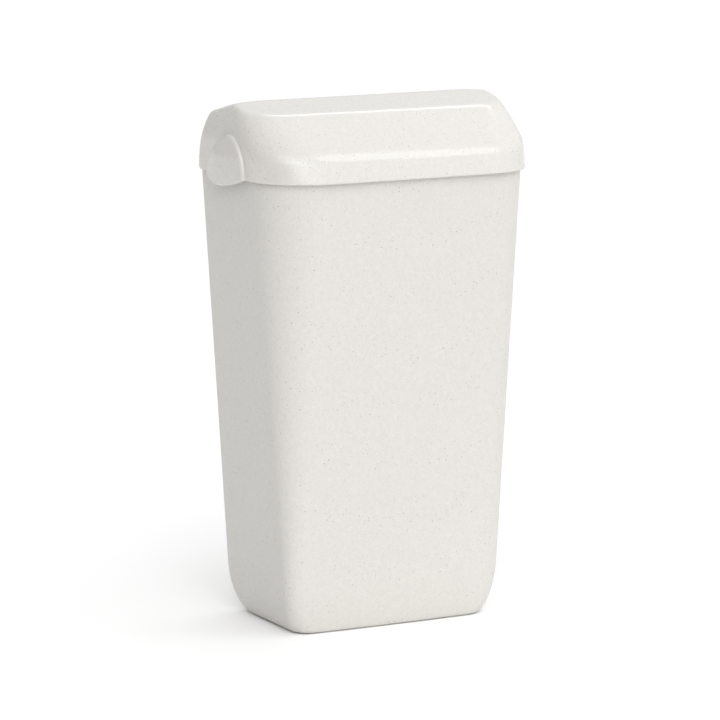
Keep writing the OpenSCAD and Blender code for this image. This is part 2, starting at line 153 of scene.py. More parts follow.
class HoodShape(bpy.types.PropertyGroup):
    """Sizes of the hood and its hinge covers"""
    wall: length("Wall", "Wall thickness of the top and front", 2.4 * MM)
    side_wall: length("Side wall", "Wall thickness of the sides", 2 * MM)
    bow: length("Bow", "Bow of the front across its width", 1.5 * MM)
    skirt_corner: length("Skirt corner", "Corner radius at the lower edge", 69.5 * MM)
    low_corner: length("Low corner", "Corner radius at the lower bend", 60 * MM)
    high_corner: length("High corner", "Corner radius at the upper bend", 37 * MM)
    low_bend_back: length("Low bend back", "Lower bend, behind the lower edge", 11 * MM)
    low_bend_up: length("Low bend up", "Lower bend, above the lower edge", 28.5 * MM)
    high_bend_back: length("High bend back", "Upper bend, behind the lower edge", 69 * MM)
    high_bend_down: length("High bend down", "Upper bend, below the ridge", 11 * MM)
    ridge_reach: length("Ridge reach", "Ridge, forward of the back plane", 73 * MM)
    rear_down: length("Rear down", "Top of the rear edge, below the ridge", 10 * MM)
    rear_gap: length("Rear gap", "Gap between the back plane and the rear edge", 8 * MM)
    rear_sweep: length("Rear sweep", "How far the rear edge curves forward", 22 * MM)
    rear_chamfer: length("Rear chamfer", "Chamfer of the rear lower corners", 4 * MM)
    lean: length("Lean", "How far each side leans in at the rear edge's top", 7.2 * MM)
    lean_start: length("Lean start", "Height at which the sides start to lean", 24 * MM)
    low_soft: length("Low softness", "Softness of the lower bend", 9 * MM)
    high_soft: length("High softness", "Softness of the upper bend", 2.4 * MM)
    side_soft: length("Side softness", "Softness of the top's edge at the sides", 4.4 * MM)
    ridge_soft: length("Ridge softness", "Softness of the ridge", 2.4 * MM)
    crown_run: length("Crown run", "Width over which the top falls away at each side", 38 * MM)
    crown_drop: length("Crown drop", "How far the top falls away at each side", 2.4 * MM)
    lip: length("Lip", "Rounding of the hood's free edges", 0.9 * MM)
    cover_half: length("Cover half width", "Half the width of a hinge cover", 45 * MM)
    cover_back: length("Cover back", "Middle of a hinge cover, behind the pivot", 7 * MM)
    cover_tilt: length("Cover tilt", "How far a hinge cover's top leans forward", 6 * MM)
    cover_sag: length("Cover sag", "How far a hinge cover's lowest point lies further back", 16 * MM)
    cover_top: length("Cover top", "Height of a hinge cover above the hood's lower edge", 46.5 * MM)
    cover_foot: length("Cover foot", "Depth of a hinge cover below the hood's lower edge", 12.2 * MM)
    cover_mid: length("Cover middle", "Height of a hinge cover's middle", 14 * MM)
    cover_edge: length("Cover edge", "Rounding of a hinge cover's edge, across", 3.8 * MM)
    cover_rise: length("Cover rise", "Height of a hinge cover's rounded edge", 4.4 * MM)


class WireShape(bpy.types.PropertyGroup):
    """Sizes of the bag ring"""
    front_bend: length("Front bend", "Bend of the ring's front corners", 34 * MM)
    rear_bend: length("Rear bend", "Bend of the ring's rear corners", 14 * MM)
    weld_width: length("Weld width", "Width of the butt weld", 3 * MM)
    weld_swell: length("Weld swell", "How far the butt weld stands out", 0.5 * MM)


class Finish(bpy.types.PropertyGroup):
    """Colours and textures"""
    plastic: colour("Plastic", "Off-white plastic", (0.616, 0.6, 0.568))
    speck: colour("Speck", "Dark specks in the plastic", (0.11, 0.10, 0.09))
    speck_cell: length("Speck spacing", "Mean distance between the larger specks", 4.4 * MM)
    speck_size: length("Speck size", "Radius of the larger specks", 0.75 * MM)
    grain_cell: length("Grain spacing", "Mean distance between the fine specks", 2.6 * MM)
    mottle: share("Mottling", "Strength of the soft mottling", 0.1)
    tub_roughness: share("Tub roughness", "Roughness of the tub", 0.42)
    hood_roughness: share("Hood roughness", "Roughness of the hood", 0.19)
    zinc: colour("Zinc", "Plated steel", (0.62, 0.62, 0.63))
    wire: colour("Wire", "Drawn wire of the bag ring", (0.66, 0.66, 0.67))
    galvanised: colour("Galvanised", "Galvanised sheet of the bracket", (0.52, 0.53, 0.55))
    brass: colour("Brass", "Brass of the lock nut", (0.71, 0.55, 0.27))
    nylon: colour("Nylon", "Dark nylon of the bushes", (0.028, 0.028, 0.03))
    rubber: colour("Rubber", "Rubber of the feet and buffers", (0.03, 0.03, 0.031))


class Studio(bpy.types.PropertyGroup):
    """Camera, floor and light"""
    azimuth: angle("Azimuth", "How far the camera stands to the left of the front", 27.53)
    elevation: angle("Elevation", "How far the camera stands above the middle", 9.9)
    distance: length("Distance", "From the camera to the aim point", 4.622)
    lens: bpy.props.FloatProperty(
        name="Lens", description="Focal length", default=208.9, min=1, subtype="DISTANCE_CAMERA")
    aim_left: length("Aim left", "Aim point, to the left of the middle", 14.8 * MM)
    floor_size: length("Floor size", "Side of the square floor", 40.0)
    floor: colour("Floor", "Pale floor", (0.97, 0.97, 0.97))
    sky: ratio("Sky", "Mean brightness of the surroundings", 0.42)
    key: ratio("Key light", "Brightness of the broad light beside the camera", 3.6)
    key_focus: ratio("Key focus", "How narrow the broad light is", 10.0)
    backdrop: ratio("Backdrop", "Brightness of the pale backdrop behind the bin", 0.38)
    backdrop_focus: ratio("Backdrop focus", "How narrow the backdrop is", 4.0)
    front_box: ratio("Front box", "Power of the soft light over the front", 2.0)
    rear_box: ratio("Rear box", "Power of the long soft light over the rear", 1.8)
    sky_slope: bpy.props.FloatVectorProperty(
        name="Sky slope", description="How the surroundings brighten along each axis",
        default=(0.55, -0.05, 0.38), size=3, subtype="XYZ")


# ---- mesh helpers ----
ROUND_STEPS = 64
BEVEL_STEPS = 3
WELD_DISTANCE = 1e-6
SHARP_ANGLE = math.radians(32)


def placed(x, reach, z):
    """Points as Blender coordinates, from side offsets, reaches and heights"""
    x, reach, z = np.broadcast_arrays(x, reach, z)
    return np.stack([x, BACK_Y - reach, z], axis=-1)


def span(side, inner, outer):
    """The two ends along X, lowest first, of a stretch between two distances from the middle"""
    return sorted((side * inner, side * outer))


def unit(vectors):
    """Vectors with the same directions and a length of one"""
    return vectors / np.linalg.norm(vectors, axis=-1, keepdims=True)


def grid_faces(rows, cols, start=0, closed=False):
    """Quads between rows of vertices that follow each other"""
    faces = []
    for r in range(rows - 1):
        for c in range(cols if closed else cols - 1):
            a = start + r * cols + c
            b = start + r * cols + (c + 1) % cols
            faces.append((a, b, b + cols, a + cols))
    return faces


def new_piece(name, points, faces):
    """A mesh object whose faces all point outwards"""
    mesh = bpy.data.meshes.new(name)
    mesh.from_pydata([tuple(p) for p in points], [], faces)
    piece = bpy.data.objects.new(name, mesh)
    bpy.context.scene.collection.objects.link(piece)
    work = bmesh.new()
    work.from_mesh(mesh)
    bmesh.ops.remove_doubles(work, verts=work.verts, dist=WELD_DISTANCE)
    bmesh.ops.recalc_face_normals(work, faces=work.faces)
    work.to_mesh(mesh)
    work.free()
    return piece


def rings_piece(name, rings):
    """A closed solid skinned over closed rings, with a flat face at each end"""
    count = len(rings[0])
    faces = grid_faces(len(rings), count, closed=True)
    faces.append(tuple(range(count)))
    last = count * (len(rings) - 1)
    faces.append(tuple(range(last, last + count)))
    return new_piece(name, np.concatenate(rings), faces)


def round_steps():
    """Angles of the points round a bar"""
    return np.linspace(0, 2 * math.pi, ROUND_STEPS, endpoint=False)


def rod(name, x0, x1, reach, z, diameter, edge=0.0):
    """A round bar along X, with its two edges broken by the given amount"""
    turn = round_steps()
    stations = [(x0, edge), (x0 + edge, 0), (x1 - edge, 0), (x1, edge)] if edge else [(x0, 0), (x1, 0)]
    rings = []
    for x, inset in stations:
        r = diameter / 2 - inset
        rings.append(placed(x, reach + r * np.cos(turn), z + r * np.sin(turn)))
    return rings_piece(name, rings)


def upright(name, x, reach, z0, z1, diameter):
    """A round bar along Z"""
    turn = round_steps()
    r = diameter / 2
    ends = [placed(x + r * np.cos(turn), reach + r * np.sin(turn), z) for z in (z0, z1)]
    return rings_piece(name, ends)


def through(name, x, z, reach0, reach1, diameter):
    """A round bar along Y"""
    turn = round_steps()
    r = diameter / 2
    ends = [placed(x + r * np.cos(turn), reach, z + r * np.sin(turn)) for reach in (reach0, reach1)]
    return rings_piece(name, ends)


def block(name, low, high, edge=0.0):
    """A box between two corners given as side offset, reach and height, with rounded edges"""
    (x0, q0, z0), (x1, q1, z1) = low, high
    corners = [placed(x, q, z) for z in (z0, z1) for x, q in ((x0, q0), (x1, q0), (x1, q1), (x0, q1))]
    faces = [(0, 1, 2, 3), (4, 5, 6, 7), (0, 1, 5, 4), (1, 2, 6, 5), (2, 3, 7, 6), (3, 0, 4, 7)]
    piece = new_piece(name, corners, faces)
    if edge:
        work = bmesh.new()
        work.from_mesh(piece.data)
        bmesh.ops.bevel(
            work, geom=work.edges[:], offset=edge, segments=BEVEL_STEPS, profile=0.5, affect="EDGES")
        work.to_mesh(piece.data)
        work.free()
    return piece


def carve(piece, tool, operation):
    """Joins the tool to the piece or cuts it away, and takes the tool out of the scene"""
    before = len(piece.data.vertices)
    change = piece.modifiers.new("carve", "BOOLEAN")
    change.operation = operation
    change.solver = "MANIFOLD"
    change.object = tool
    graph = bpy.context.evaluated_depsgraph_get()
    mesh = bpy.data.meshes.new_from_object(piece.evaluated_get(graph))
    piece.modifiers.clear()
    old = piece.data
    piece.data = mesh
    bpy.data.meshes.remove(old)
    used = tool.data
    name = tool.name
    bpy.data.objects.remove(tool)
    bpy.data.meshes.remove(used)
    if len(mesh.vertices) == before:
        raise RuntimeError(f"{piece.name}: {name} changed nothing")


def join(piece, *tools):
    """Adds each tool's solid to the piece"""
    for tool in tools:
        carve(piece, tool, "UNION")


def cut(piece, *tools):
    """Takes each tool's solid away from the piece"""
    for tool in tools:
        carve(piece, tool, "DIFFERENCE")


def finish_piece(piece, body, slot, material, *nodes):
    """Shades the piece, gives it its material, and ties it to the frame"""
    mesh = piece.data
    mesh.name = piece.name
    mesh.shade_smooth()
    mesh.set_sharp_from_angle(angle=SHARP_ANGLE)
    mesh.materials.clear()
    mesh.materials.append(material)
    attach(piece, body)
    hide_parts(*nodes)


# ---- shader helpers ----
class Wire:
    """A node's output that can stand in sums and products, which add Math nodes"""

    def __init__(self, tree, socket=None):
        self.tree = tree
        self.socket = socket

    def node(self, kind, settings=None, inputs=None, output=0):
        """Adds a node, sets its settings first and its sockets next, and gives one of its outputs"""
        node = self.tree.nodes.new(kind)
        for name, value in (settings or {}).items():
            setattr(node, name, value)
        for name, value in (inputs or {}).items():
            if isinstance(value, Wire):
                self.tree.links.new(value.socket, node.inputs[name])
            else:
                node.inputs[name].default_value = value
        return Wire(self.tree, node.outputs[output] if node.outputs else None)

    def maths(self, operation, a, b, clamp=False):
        """One Math node on two values or sockets"""
        return self.node("ShaderNodeMath", {"operation": operation, "use_clamp": clamp}, {0: a, 1: b})

    def __add__(self, other):
        return self.maths("ADD", self, other)

    __radd__ = __add__

    def __mul__(self, other):
        return self.maths("MULTIPLY", self, other)

    __rmul__ = __mul__

    def __sub__(self, other):
        return self.maths("SUBTRACT", self, other)

    def __rsub__(self, other):
        return self.maths("SUBTRACT", other, self)

    def __truediv__(self, other):
        return self.maths("DIVIDE", self, other)

    def __lt__(self, other):
        return self.maths("LESS_THAN", self, other)

    def clamped(self):
        """The value kept between 0 and 1"""
        return self.maths("ADD", self, 0.0, clamp=True)

    def mixed(self, a, b):
        """Colour a where this is 0 and colour b where it is 1"""
        return self.node("ShaderNodeMix", {"data_type": "RGBA"}, {0: self, 6: a, 7: b}, output=2)


def opaque(rgb):
    """A colour with full alpha"""
    return (rgb[0], rgb[1], rgb[2], 1.0)


def scaled(rgb, factor):
    """A lighter or darker shade of a colour"""
    return opaque([min(c * factor, 1.0) for c in rgb])


def new_material(name):
    """An empty material, its tree as a wire, and the object coordinates in it"""
    material = bpy.data.materials.new(name)
    material.use_nodes = True
    material.node_tree.nodes.clear()
    start = Wire(material.node_tree)
    return material, start, start.node("ShaderNodeTexCoord", output="Object")


def surface(material, start, values):
    """Ends a material in one Principled shader"""
    shader = start.node("ShaderNodeBsdfPrincipled", inputs=values)
    start.node("ShaderNodeOutputMaterial", inputs={"Surface": shader})
    return material


def bump(start, height, depth):
    """A normal for a relief of the given depth"""
    return start.node("ShaderNodeBump", inputs={"Height": height, "Distance": depth, "Strength": 1.0})


def cells(start, coords, size, output):
    """Random cells of the given size: the distance to each one's middle, or its random colour"""
    return start.node(
        "ShaderNodeTexVoronoi", {"voronoi_dimensions": "3D", "feature": "F1"},
        {"Vector": coords, "Scale": 1 / size, "Randomness": 1.0}, output)


def specks(start, coords, cell, radius, share_kept, softness):
    """Round specks of mixed sizes: 1 on a speck, 0 off it"""
    away = cells(start, coords, cell, "Distance")
    dice = cells(start, coords, cell, "Color")
    chance = start.node("ShaderNodeSeparateColor", inputs={"Color": dice}, output="Red")
    size = start.node("ShaderNodeSeparateColor", inputs={"Color": dice}, output="Green")
    reach = (size * 0.6 + 0.4) * (radius / cell)
    return ((reach - away) / (softness / cell)).clamped() * (chance < share_kept)


def noise(start, coords, size, detail=3.0, roughness=0.55):
    """Cloudy noise whose largest features have the given size"""
    return start.node(
        "ShaderNodeTexNoise", {"noise_dimensions": "3D"},
        {"Vector": coords, "Scale": 1 / size, "Detail": detail, "Roughness": roughness})


def plastic_material(name, look, roughness, peel_size, peel_depth, coat):
    """Off-white moulded plastic with fine grain and sparse dark specks"""
    material, start, coords = new_material(name)
    base = look.plastic
    cloud = noise(start, coords, 5 * MM, detail=4.0)
    fine = noise(start, coords, 1.3 * MM, detail=2.0)
    tone = ((cloud - 0.5) * 0.6 + (fine - 0.5) * 1.4) * look.mottle * 10 + 0.5
    body = tone.clamped().mixed(scaled(base, 1 - look.mottle), scaled(base, 1 + look.mottle))
    grain = specks(start, coords, look.grain_cell, 0.55 * MM, share_kept=0.4, softness=0.3 * MM)
    grained = (grain * 0.42).mixed(body, opaque(look.speck))
    large = specks(start, coords, look.speck_cell, look.speck_size, share_kept=0.75, softness=0.35 * MM)
    speckled = (large * 0.72).mixed(grained, opaque(look.speck))
    peel = noise(start, coords, peel_size, detail=2.0)
    texture = bump(start, peel + grain * 0.2, peel_depth)
    return surface(material, start, {
        "Base Color": speckled,
        "Roughness": (cloud - 0.5) * 0.08 + fine * 0.04 + (roughness - 0.02),
        "Normal": texture,
        "IOR": 1.5,
        "Coat Weight": coat,
        "Coat Roughness": 0.05,
    })


def turned_metal_material(name, tint, roughness, line_size):
    """Turned or drawn metal: fine lines round it, and dulled patches"""
    material, start, coords = new_material(name)
    stretch = start.node(
        "ShaderNodeMapping", {"vector_type": "POINT"}, {"Vector": coords, "Scale": (1.0, 0.08, 0.08)})
    lines = noise(start, stretch, line_size, detail=5.0, roughness=0.7)
    patches = noise(start, coords, 6 * MM, detail=3.0)
    shade = patches.mixed(scaled(tint, 0.8), scaled(tint, 1.1))
    return surface(material, start, {
        "Base Color": shade,
        "Metallic": 1.0,
        "Roughness": lines * 0.18 + patches * 0.14 + (roughness - 0.16),
        "Normal": bump(start, lines, 0.02 * MM),
    })


def galvanised_material(name, tint):
    """Zinc-dipped sheet: crystals of mixed tone, with duller edges between them"""
    material, start, coords = new_material(name)
    patches = noise(start, coords, 9 * MM, detail=2.0)
    dice = cells(start, coords, 7 * MM, "Color")
    tone = start.node("ShaderNodeSeparateColor", inputs={"Color": dice}, output="Red")
    streak = noise(start, coords, 1.2 * MM, detail=4.0, roughness=0.7)
    mix = (tone * 0.6 + patches * 0.3 + streak * 0.2).clamped()
    return surface(material, start, {
        "Base Color": mix.mixed(scaled(tint, 0.72), scaled(tint, 1.25)),
        "Metallic": 0.9,
        "Roughness": 0.5 - tone * 0.16 + streak * 0.08,
        "Normal": bump(start, streak + tone, 0.02 * MM),
    })


def soft_material(name, tint, roughness, pit_size):
    """Moulded rubber or nylon: dark, fine-pitted, with a little bloom"""
    material, start, coords = new_material(name)
    pits = noise(start, coords, pit_size, detail=3.0)
    bloom = noise(start, coords, 5 * MM, detail=4.0, roughness=0.6)
    lift = ((bloom - 0.45) * 2.5).clamped()
    return surface(material, start, {
        "Base Color": lift.mixed(opaque(tint), scaled(tint, 1.9)),
        "Roughness": pits * 0.15 + (roughness - 0.07) + lift * 0.1,
        "Normal": bump(start, pits, 0.04 * MM),
    })


# ---- tub ----
# The rim stands this far above the hood's lower edge at the front
TUB_RIM = 6 * MM
RIM_FILLET = 0.15 * MM
LEAST_REAR_RADIUS = 3 * MM
LEAST_FRONT_RADIUS = 4 * MM
BUSH_GAP = 0.4 * MM
LUG_EDGE = 0.5 * MM
LUG_DEPTH = 14 * MM
RING_LUG_OUT = 70 * MM
RING_LUG_HALF = 6 * MM
RING_LUG_MARGIN = 7 * MM
WIRE_GAP = 0.1 * MM
LEDGE_INNER = 60 * MM
LEDGE_OUTER = 84 * MM
LEDGE_GAP = 0.4 * MM
LEDGE_THICK = 2.5 * MM
# Joined solids reach this far into each other, and cutting bars this far past the wall
OVERLAP = 1 * MM
PIN_DIAMETER = 8 * MM
PIN_LENGTH = 30 * MM
LOCK_BORE = 5.5 * MM
BASE_RINGS = (0.35, 0.6, 0.8, 0.93)
FEET = ("foot_front_left", "foot_front_right", "foot_rear_left", "foot_rear_right")


def plan_half(half, back, front, rear_radius, front_radius, bow):
    """Right half of the outline seen from above, from the middle of the back to that of the front"""
    slope = math.atan2(2 * bow, half - front_radius)
    end = half - front_radius + front_radius * math.sin(slope)
    sag = end * math.tan(slope) / 2
    centre = front + bow - sag - front_radius * math.cos(slope)
    rows = [(k * (half - rear_radius), back) for k in np.linspace(0, 1, 10, endpoint=False)]
    for turn in np.linspace(-math.pi / 2, 0, 9):
        rows.append((half - rear_radius + rear_radius * math.cos(turn),
                     back + rear_radius + rear_radius * math.sin(turn)))
    for k in np.linspace(0, 1, 18)[1:-1]:
        rows.append((half, back + rear_radius + k * (centre - back - rear_radius)))
    for turn in np.linspace(0, math.pi / 2 - slope, 28):
        rows.append((half - front_radius + front_radius * math.cos(turn),
                     centre + front_radius * math.sin(turn)))
    for k in np.linspace(1, 0, 15)[1:]:
        rows.append((k * end, front + bow - sag * k * k))
    return np.array(rows)


def plan_ring(*sizes):
    """Closed outline seen from above, as side offsets and reaches"""
    half = plan_half(*sizes)
    left = half[-2:0:-1] * (-1, 1)
    return np.concatenate([half, left])


class TubForm:
    """The tub's faces as rings; depths run down from the hood's lower edge, t is the offset inwards"""

    def __init__(self, shape):
        self.shape = shape
        self.half_top = TUB_HI.x - shape.side_taper * shape.shoulder
        self.front_top = BACK_Y - TUB_LO.y - shape.bow - shape.front_taper * shape.shoulder
        self.depth = SKIRT_Z - FLOOR_GAP
        self.draw_start = self.depth - shape.bottom_round

    def half_width(self, depth):
        """Distance from the middle to the side"""
        return self.half_top - self.shape.side_taper * depth

    def front(self, depth):
        """Reach of the front at its corners"""
        return self.front_top - self.shape.front_taper * depth

    def drawn(self, depth, t):
        """How far the wall has drawn in: 0 above the bottom round, 1 at the very bottom"""
        k = min(max((depth - self.draw_start) / (self.shape.bottom_round - t), 0), 1)
        return 1 - math.sqrt(1 - k * k)

    def outline(self, depth, t):
        """The outline at one depth, seen from above"""
        s = self.shape
        g = self.drawn(depth, t)
        down = min(depth / self.draw_start, 1)
        radius = s.corner_top + (s.corner_foot - s.corner_top) * down
        radius += (s.corner_bottom - s.corner_foot) * g
        rear_radius = s.rear_corner + (s.rear_bottom - s.rear_corner) * g
        return plan_ring(
            self.half_width(depth) - (s.side_inset - t) * g - t,
            (s.rear_inset - t) * g + t,
            self.front(depth) - (s.front_inset - t) * g - t,
            max(rear_radius - t, LEAST_REAR_RADIUS), max(radius - t, LEAST_FRONT_RADIUS), s.bow)

    def ring(self, depth, t):
        """The outline at one depth, as points in space"""
        plan = self.outline(depth, t)
        return placed(plan[:, 0], plan[:, 1], SKIRT_Z - depth)

    def rim_ring(self, t, below):
        """A ring near the top of the rim, which is lower at the back"""
        s = self.shape
        plan = self.outline(-(TUB_RIM - below), t)
        ramp = np.clip((plan[:, 1] - s.rear_rim_reach + 2 * MM) / (4 * MM), 0, 1)
        ease = ramp * ramp * (3 - 2 * ramp)
        top = s.rear_rim + (TUB_RIM - s.rear_rim) * ease
        return placed(plan[:, 0], plan[:, 1], SKIRT_Z + top - below)

    def wall_rings(self, t):
        """Rings from the middle of the bottom up to the hood's lower edge"""
        base = self.outline(self.depth - t, t)
        height = SKIRT_Z - self.depth + t
        middle = np.array([0, base[:, 1].mean()])
        rings = []
        for k in BASE_RINGS:
            plan = middle + (base - middle) * k
            rings.append(placed(plan[:, 0], plan[:, 1], height))
        swing = np.linspace(90, 0, 26) * math.pi / 180
        round_depth = self.shape.bottom_round - t
        rings += [self.ring(self.draw_start + round_depth * math.sin(a), t) for a in swing]
        rings += [self.ring(d, t) for d in np.linspace(self.draw_start, 0, 24)[1:]]
        return rings


def tub_rings(form):
    """All rings of the tub, up the outside, over the rim and down the inside"""
    s = form.shape
    rings = form.wall_rings(0)
    for a in np.linspace(0, math.pi / 2, 5):
        depth = -(s.shoulder - s.shoulder_round * (1 - math.sin(a)))
        rings.append(form.ring(depth, s.shoulder_round * (1 - math.cos(a))))
    rings.append(form.ring(-s.shoulder, s.rim_step - RIM_FILLET))
    rings.append(form.ring(-s.shoulder - RIM_FILLET, s.rim_step))
    thick = (s.wall - s.rim_step) / 2
    for a in np.linspace(0, math.pi, 9):
        rings.append(form.rim_ring(s.rim_step + thick * (1 - math.cos(a)), thick * (1 - math.sin(a))))
    return rings + form.wall_rings(s.wall)[::-1]


def pivot_lug(side, form):
    """A lug with a round top and a boss behind it, which carries one hinge pin"""
    s = form.shape
    outer = BUSH_INNER_X - BUSH_GAP
    r = s.lug_width / 2
    turn = np.linspace(0, math.pi, 33)
    reach = np.concatenate([PIVOT_REACH + r * np.cos(turn), [PIVOT_REACH - r, PIVOT_REACH + r]])
    height = np.concatenate([PIVOT_Z + r * np.sin(turn), [SKIRT_Z - LUG_DEPTH] * 2])
    rings = []
    for x, k in ((outer - s.lug_wall, 1), (outer - LUG_EDGE, 1), (outer, 1 - LUG_EDGE / r)):
        rings.append(placed(side * x, PIVOT_REACH + (reach - PIVOT_REACH) * k,
                            PIVOT_Z + (height - PIVOT_Z) * k))
    lug = rings_piece("lug", rings)
    inner = outer - s.boss_length
    x0, x1 = span(side, inner, outer - OVERLAP)
    join(lug, rod("boss", x0, x1, PIVOT_REACH, PIVOT_Z, s.lug_width, edge=0.8 * MM))
    return lug


def ring_lug(x, form):
    """A lug on the back wall that holds the rear run of the bag ring"""
    wall = form.shape.wall
    diameter = RING_HI.z - RING_LO.z
    reach = BACK_Y - JOINTS["ring_hinge"].y
    z = JOINTS["ring_hinge"].z
    half = RING_LUG_HALF
    size = diameter + RING_LUG_MARGIN
    lug = rod("ring_lug", x - half, x + half, reach, z, size, edge=0.6 * MM)
    low = (x - half, wall - OVERLAP, z - size / 2)
    join(lug, block("web", low, (x + half, reach, z + size / 2), edge=0.4 * MM))
    return lug


def ring_ledge(side, form):
    """A ledge on the front wall that the bag ring rests on"""
    wire = RING_HI.z - RING_LO.z
    top = RING_LO.z - LEDGE_GAP
    front = BACK_Y - RING_LO.y
    depth = SKIRT_Z - top
    x0, x1 = span(side, LEDGE_INNER, LEDGE_OUTER)
    back = front - 1.5 * wire
    wall_face = form.front(depth) - form.shape.wall + 1.5 * MM
    return block("ledge", (x0, back, top - LEDGE_THICK), (x1, wall_face, top), edge=0.6 * MM)


def bracket_pocket(grow, depth, form, edge):
    """The space of the wall bracket, or with grow the box of walls round it, open at the back plane"""
    gap = form.shape.pocket_gap
    half = BRACKET_HI.x + gap + grow
    low = (-half, -2 * MM, BRACKET_LO.z - gap - grow)
    return block("pocket", low, (half, depth, BRACKET_HI.z + grow), edge)


class BIN_OT_tub(bpy.types.Operator):
    """Builds the tapered tub with its rim, lugs, ledges and bracket pocket"""
    bl_idname = "bin.tub"
    bl_label = "Tub"

    def execute(self, context):
        look = context.scene.bin_finish
        form = TubForm(context.scene.bin_tub)
        s = form.shape
        tub = rings_piece("tub_shell", tub_rings(form))
        lugs = [pivot_lug(side, form) for side in (-1, 1)]
        lugs += [ring_lug(x, form) for x in (-RING_LUG_OUT, RING_LUG_OUT)]
        lugs += [ring_ledge(side, form) for side in (-1, 1)]
        join(tub, *lugs)
        walls = bracket_pocket(s.wall, s.pocket_depth + s.wall, form, edge=2 * MM)
        # The box of walls starts inside the tub's back wall
        trim_half = 2 * TUB_HI.x
        cut(walls, block("trim", (-trim_half, -20 * MM, 0), (trim_half, OVERLAP, HOOD_HI.z)))
        join(tub, walls)
        cut(tub, bracket_pocket(0, s.pocket_depth, form, edge=0.8 * MM))
        wire = RING_HI.z - RING_LO.z + WIRE_GAP
        ring_reach = BACK_Y - JOINTS["ring_hinge"].y
        ring_z = JOINTS["ring_hinge"].z
        for side in (-1, 1):
            x0, x1 = span(side, PIN_HEAD_X - PIN_LENGTH, HOOD_HALF + 5 * MM)
            cut(tub, rod("bore", x0, x1, PIVOT_REACH, PIVOT_Z, PIN_DIAMETER))
            centre = side * RING_LUG_OUT
            past = RING_LUG_HALF + 2 * MM
            cut(tub, rod("wire_bore", centre - past, centre + past, ring_reach, ring_z, wire))
        middle = (WASHER_LO.z + WASHER_HI.z) / 2
        near = s.pocket_depth - OVERLAP
        far = s.pocket_depth + s.wall + OVERLAP
        cut(tub, through("lock_bore", 0, middle, near, far, LOCK_BORE))
        for name in FEET:
            low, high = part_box(name)
            seat = (low + high) / 2
            cut(tub, upright("seat", seat.x, BACK_Y - seat.y, -OVERLAP, high.z, high.x - low.x))
        material = plastic_material(
            "satin_speckled_plastic", look, look.tub_roughness,
            peel_size=0.9 * MM, peel_depth=0.03 * MM, coat=0.0)
        finish_piece(tub, "bin", "tub_plastic", material, "tub")
        return {"FINISHED"}


# ---- hood ----
# Ray fans along each side, round each corner and across the front; neighbours share their end fans
SIDE_FANS = 22
CORNER_FANS = 29
FRONT_FANS = 45
# The ridge's corners are this much tighter than those of the upper bend
RIDGE_CORNER_LESS = 6 * MM
# Length of the top's slope for each unit of depth
ROOF_STEEPNESS = 1.02
CROWN_EDGE = 3 * MM
RAY_LENGTH = 250 * MM
RAY_HALVINGS = 36
REAR_EDGE_PASSES = 8
LIP_STEPS = 7
LIP_SQUARENESS = 3.0
BUSH_BORE = 12 * MM
# Each hinge cover snaps in with two pegs, one ahead of its pivot and one behind
PEG = 5 * MM
PEG_OUT = 26 * MM
PEG_DOWN = 3 * MM
SHELF_THICK = 2 * MM
SHELF_HALF = 8 * MM


def smooth_min(a, b, soft):
    """The smaller of two values, blended where they come within soft of each other"""
    return np.minimum(a, b) - np.maximum(soft - np.abs(a - b), 0) ** 2 / (4 * soft)


def smooth_max(a, b, soft):
    """The larger of two values, blended where they come within soft of each other"""
    return np.maximum(a, b) + np.maximum(soft - np.abs(a - b), 0) ** 2 / (4 * soft)


def arc_fall(run, total_run, total_fall):
    """Fall of a circular arc that starts level and falls total_fall over total_run"""
    radius = (total_run ** 2 + total_fall ** 2) / (2 * total_fall)
    return radius - np.sqrt(np.maximum(radius ** 2 - run ** 2, 0))


